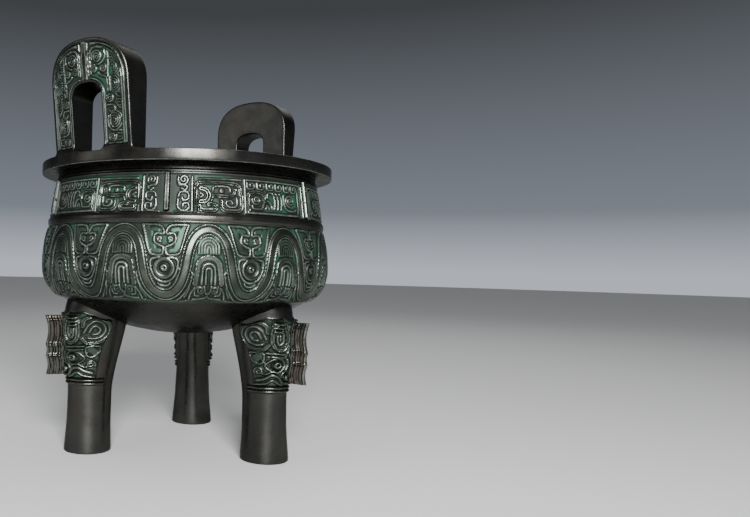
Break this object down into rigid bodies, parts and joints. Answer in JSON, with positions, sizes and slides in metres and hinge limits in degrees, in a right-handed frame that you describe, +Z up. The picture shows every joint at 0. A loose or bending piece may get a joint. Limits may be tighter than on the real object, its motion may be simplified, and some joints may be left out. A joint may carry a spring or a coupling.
{
  "type": "bronze ding vessel",
  "caption": "Round bronze ding: an open bowl on legs with animal masks, a flat rim with upright pierced ears, and bands of scroll and wave relief round the outside.",
  "frame": {"origin": "centre of the bounding box on the plane of the feet, on the bowl's axis", "axes": "+Z up along the bowl's axis, the ears on +X and -X, the front leg on -Y"},
  "size_m": [0.3182, 0.3, 0.3829],
  "materials": {
    "bronze": "dark patinated bronze, satin, with green verdigris in the carving and bright worn edges"
  },
  "bodies": {
    "root": {"ding_vessel": "bronze"}
  },
  "joints": []
}
